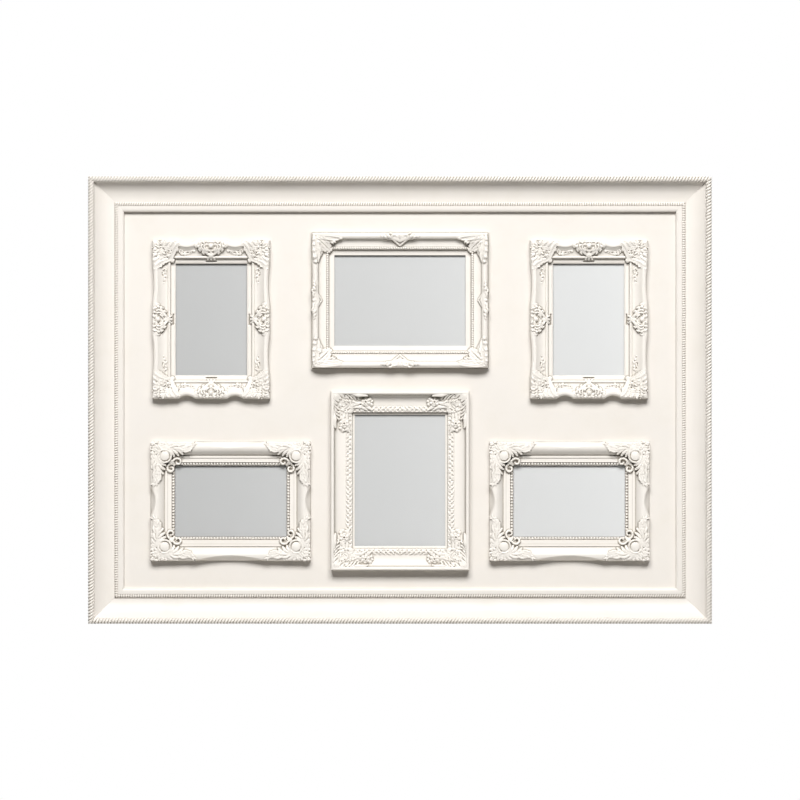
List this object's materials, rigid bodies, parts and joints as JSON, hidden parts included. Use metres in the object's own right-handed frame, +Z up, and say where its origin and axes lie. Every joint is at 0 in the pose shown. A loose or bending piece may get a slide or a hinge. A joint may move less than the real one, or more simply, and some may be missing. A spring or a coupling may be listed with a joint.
{
  "type": "collage photo frame",
  "caption": "Wall-hung collage photo frame: a rope-edged moulded surround and flat panel carry ornate cast picture frames with glass; backing boards are held by turn buttons.",
  "frame": {"origin": "on the wall plane, half way between the entry holes of the two keyhole plates", "axes": "+X to the viewer's right, +Z up, +Y into the wall; the front faces -Y"},
  "size_m": [0.8142, 0.037, 0.5842],
  "materials": {
    "painted_moulding": "antique cream satin paint",
    "painted_panel": "cream satin paint on fibreboard",
    "painted_casting": "cream satin paint on cast resin",
    "clear_glass": "clear float glass",
    "grey_card": "plain grey insert card",
    "hardboard": "smooth brown hardboard",
    "zinc_steel": "zinc plated",
    "brass_buttons": "brass plated steel",
    "brass_screws": "brass plated steel"
  },
  "bodies": {
    "frame": {"top_rail": "painted_moulding", "bottom_rail": "painted_moulding", "left_rail": "painted_moulding", "right_rail": "painted_moulding", "corner_nails": "zinc_steel", "panel": "painted_panel", "panel_points": "zinc_steel", "cast_frame_top_left": "painted_casting", "glass_top_left": "clear_glass", "insert_card_top_left": "grey_card", "backing_board_top_left": "hardboard", "cast_frame_top_centre": "painted_casting", "glass_top_centre": "clear_glass", "insert_card_top_centre": "grey_card", "backing_board_top_centre": "hardboard", "cast_frame_top_right": "painted_casting", "glass_top_right": "clear_glass", "insert_card_top_right": "grey_card", "backing_board_top_right": "hardboard", "cast_frame_bottom_left": "painted_casting", "glass_bottom_left": "clear_glass", "insert_card_bottom_left": "grey_card", "backing_board_bottom_left": "hardboard", "cast_frame_bottom_centre": "painted_casting", "glass_bottom_centre": "clear_glass", "insert_card_bottom_centre": "grey_card", "backing_board_bottom_centre": "hardboard", "cast_frame_bottom_right": "painted_casting", "glass_bottom_right": "clear_glass", "insert_card_bottom_right": "grey_card", "backing_board_bottom_right": "hardboard", "cast_frame_screws": "zinc_steel", "turn_button_screws": "brass_screws", "keyhole_plate_left": "zinc_steel", "keyhole_plate_right": "zinc_steel", "keyhole_plate_screws": "zinc_steel"},
    "turn_button_top_left_left": {"turn_button_top_left_left": "brass_buttons"},
    "turn_button_top_left_right": {"turn_button_top_left_right": "brass_buttons"},
    "turn_button_top_centre_left": {"turn_button_top_centre_left": "brass_buttons"},
    "turn_button_top_centre_right": {"turn_button_top_centre_right": "brass_buttons"},
    "turn_button_top_centre_bottom": {"turn_button_top_centre_bottom": "brass_buttons"},
    "turn_button_top_centre_top": {"turn_button_top_centre_top": "brass_buttons"},
    "turn_button_top_right_left": {"turn_button_top_right_left": "brass_buttons"},
    "turn_button_top_right_right": {"turn_button_top_right_right": "brass_buttons"},
    "turn_button_bottom_left_bottom": {"turn_button_bottom_left_bottom": "brass_buttons"},
    "turn_button_bottom_left_top": {"turn_button_bottom_left_top": "brass_buttons"},
    "turn_button_bottom_centre_left": {"turn_button_bottom_centre_left": "brass_buttons"},
    "turn_button_bottom_centre_right": {"turn_button_bottom_centre_right": "brass_buttons"},
    "turn_button_bottom_centre_bottom": {"turn_button_bottom_centre_bottom": "brass_buttons"},
    "turn_button_bottom_centre_top": {"turn_button_bottom_centre_top": "brass_buttons"},
    "turn_button_bottom_right_bottom": {"turn_button_bottom_right_bottom": "brass_buttons"},
    "turn_button_bottom_right_top": {"turn_button_bottom_right_top": "brass_buttons"}
  },
  "joints": [
    {"name": "turn_button_top_left_left_turn", "type": "hinge", "parent": "frame", "child": "turn_button_top_left_left", "pos_m": [-0.3075, -0.00825, -0.1657], "axis": [0, 1, 0], "continuous": true},
    {"name": "turn_button_top_left_right_turn", "type": "hinge", "parent": "frame", "child": "turn_button_top_left_right", "pos_m": [-0.1865, -0.00825, -0.1657], "axis": [0, 1, 0], "continuous": true},
    {"name": "turn_button_top_centre_left_turn", "type": "hinge", "parent": "frame", "child": "turn_button_top_centre_left", "pos_m": [-0.0986, -0.00825, -0.1408], "axis": [0, 1, 0], "continuous": true},
    {"name": "turn_button_top_centre_right_turn", "type": "hinge", "parent": "frame", "child": "turn_button_top_centre_right", "pos_m": [0.0986, -0.00825, -0.1408], "axis": [0, 1, 0], "continuous": true},
    {"name": "turn_button_top_centre_bottom_turn", "type": "hinge", "parent": "frame", "child": "turn_button_top_centre_bottom", "pos_m": [0, -0.00825, -0.214], "axis": [0, 1, 0], "continuous": true},
    {"name": "turn_button_top_centre_top_turn", "type": "hinge", "parent": "frame", "child": "turn_button_top_centre_top", "pos_m": [0, -0.00825, -0.0676], "axis": [0, 1, 0], "continuous": true},
    {"name": "turn_button_top_right_left_turn", "type": "hinge", "parent": "frame", "child": "turn_button_top_right_left", "pos_m": [0.1865, -0.00825, -0.1657], "axis": [0, 1, 0], "continuous": true},
    {"name": "turn_button_top_right_right_turn", "type": "hinge", "parent": "frame", "child": "turn_button_top_right_right", "pos_m": [0.3075, -0.00825, -0.1657], "axis": [0, 1, 0], "continuous": true},
    {"name": "turn_button_bottom_left_bottom_turn", "type": "hinge", "parent": "frame", "child": "turn_button_bottom_left_bottom", "pos_m": [-0.2215, -0.00825, -0.4639], "axis": [0, 1, 0], "continuous": true},
    {"name": "turn_button_bottom_left_top_turn", "type": "hinge", "parent": "frame", "child": "turn_button_bottom_left_top", "pos_m": [-0.2215, -0.00825, -0.3429], "axis": [0, 1, 0], "continuous": true},
    {"name": "turn_button_bottom_centre_left_turn", "type": "hinge", "parent": "frame", "child": "turn_button_bottom_centre_left", "pos_m": [-0.0732, -0.00825, -0.3764], "axis": [0, 1, 0], "continuous": true},
    {"name": "turn_button_bottom_centre_right_turn", "type": "hinge", "parent": "frame", "child": "turn_button_bottom_centre_right", "pos_m": [0.0732, -0.00825, -0.3764], "axis": [0, 1, 0], "continuous": true},
    {"name": "turn_button_bottom_centre_bottom_turn", "type": "hinge", "parent": "frame", "child": "turn_button_bottom_centre_bottom", "pos_m": [0, -0.00825, -0.475], "axis": [0, 1, 0], "continuous": true},
    {"name": "turn_button_bottom_centre_top_turn", "type": "hinge", "parent": "frame", "child": "turn_button_bottom_centre_top", "pos_m": [0, -0.00825, -0.2778], "axis": [0, 1, 0], "continuous": true},
    {"name": "turn_button_bottom_right_bottom_turn", "type": "hinge", "parent": "frame", "child": "turn_button_bottom_right_bottom", "pos_m": [0.2215, -0.00825, -0.4639], "axis": [0, 1, 0], "continuous": true},
    {"name": "turn_button_bottom_right_top_turn", "type": "hinge", "parent": "frame", "child": "turn_button_bottom_right_top", "pos_m": [0.2215, -0.00825, -0.3429], "axis": [0, 1, 0], "continuous": true}
  ]
}
